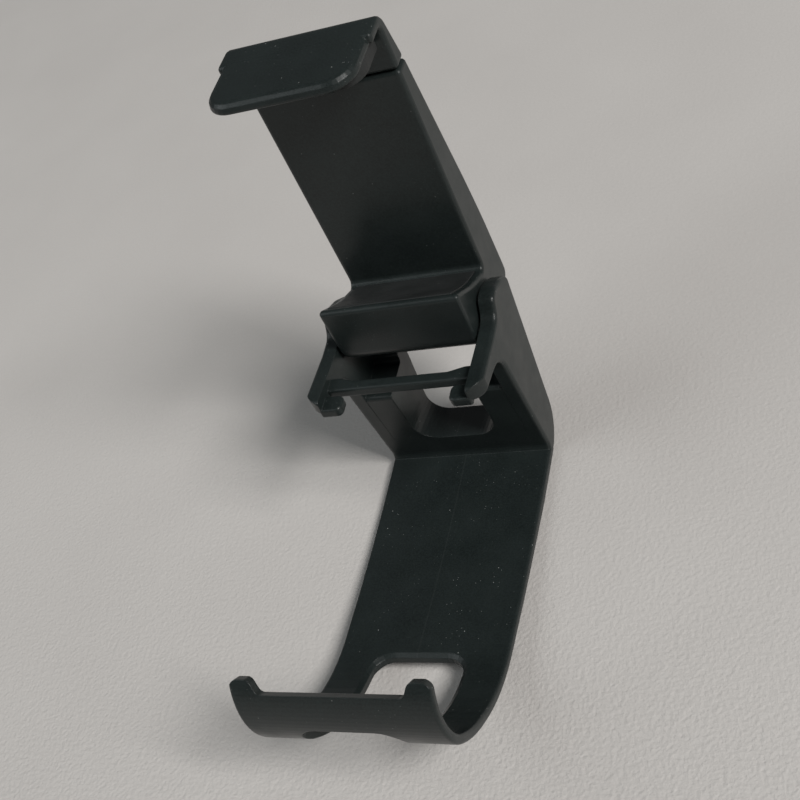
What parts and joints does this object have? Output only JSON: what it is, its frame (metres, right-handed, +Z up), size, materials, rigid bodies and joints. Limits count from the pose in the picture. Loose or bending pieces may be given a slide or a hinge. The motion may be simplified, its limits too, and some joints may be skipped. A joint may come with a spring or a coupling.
{
  "type": "controller phone clip",
  "caption": "Plastic clip that hooks round a game controller and holds a phone upright above it in a tilting holder with a spring-loaded sliding jaw.",
  "frame": {"origin": "centre of the footprint, on the surface that the bracket's wall lies on", "axes": "+X across the clip, +Y from the hook towards the holder's back, +Z up along the phone panel"},
  "size_m": [0.038, 0.104, 0.1047],
  "materials": {
    "body_plastic": "satin black injection-moulded plastic",
    "rubber": "matt black rubber",
    "steel": "plain bright steel",
    "nylon": "natural nylon"
  },
  "bodies": {
    "bracket": {"bracket": "body_plastic"},
    "holder": {"holder_body": "body_plastic", "back_cover": "body_plastic", "shelf_pad": "rubber", "hinge_pin_left": "steel", "hinge_pin_right": "steel", "friction_washer_left": "nylon", "friction_washer_right": "nylon", "spring_left": "steel", "spring_right": "steel", "cover_screws": "steel"},
    "slider": {"slider_jaw": "body_plastic", "jaw_pad": "rubber"}
  },
  "joints": [
    {"name": "holder_tilt", "type": "hinge", "parent": "bracket", "child": "holder", "pos_m": [0, 0.03489, 0.03975], "axis": [1, 0, 0], "range_deg": [-35, 40]},
    {"name": "jaw_slide", "type": "slide", "parent": "holder", "child": "slider", "axis": [0, 0, 1], "range_m": [0, 0.03], "stiffness_N_per_m": 120, "springref_m": -0.02, "deforming": ["spring_left", "spring_right"]}
  ]
}
